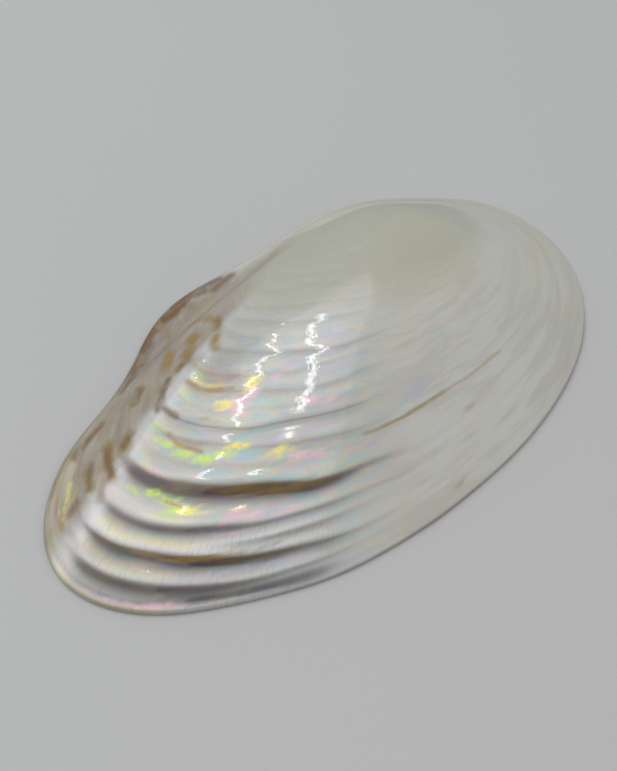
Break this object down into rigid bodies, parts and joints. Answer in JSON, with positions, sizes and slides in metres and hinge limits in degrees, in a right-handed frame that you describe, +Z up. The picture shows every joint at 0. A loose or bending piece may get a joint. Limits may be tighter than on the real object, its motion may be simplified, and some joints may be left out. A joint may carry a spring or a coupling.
{
  "type": "mussel shell valve",
  "caption": "Polished half shell of a large freshwater pearl mussel, an elongated hollow dome with stepped growth ridges, lying on its flat rim.",
  "frame": {"origin": "centre of the bounding box in plan, on the plane that the rim rests on", "axes": "+X along the length towards the rounded anterior end, +Y towards the hinge margin and beak, +Z up from the rim to the convex outside"},
  "size_m": [0.15, 0.0854, 0.022],
  "materials": {
    "nacre": "polished mother-of-pearl, silvery with pale green, yellow, pink and blue play of colour, grey-brown in the growth grooves, cream towards the front end"
  },
  "bodies": {
    "root": {"mussel_valve": "nacre"}
  },
  "joints": []
}
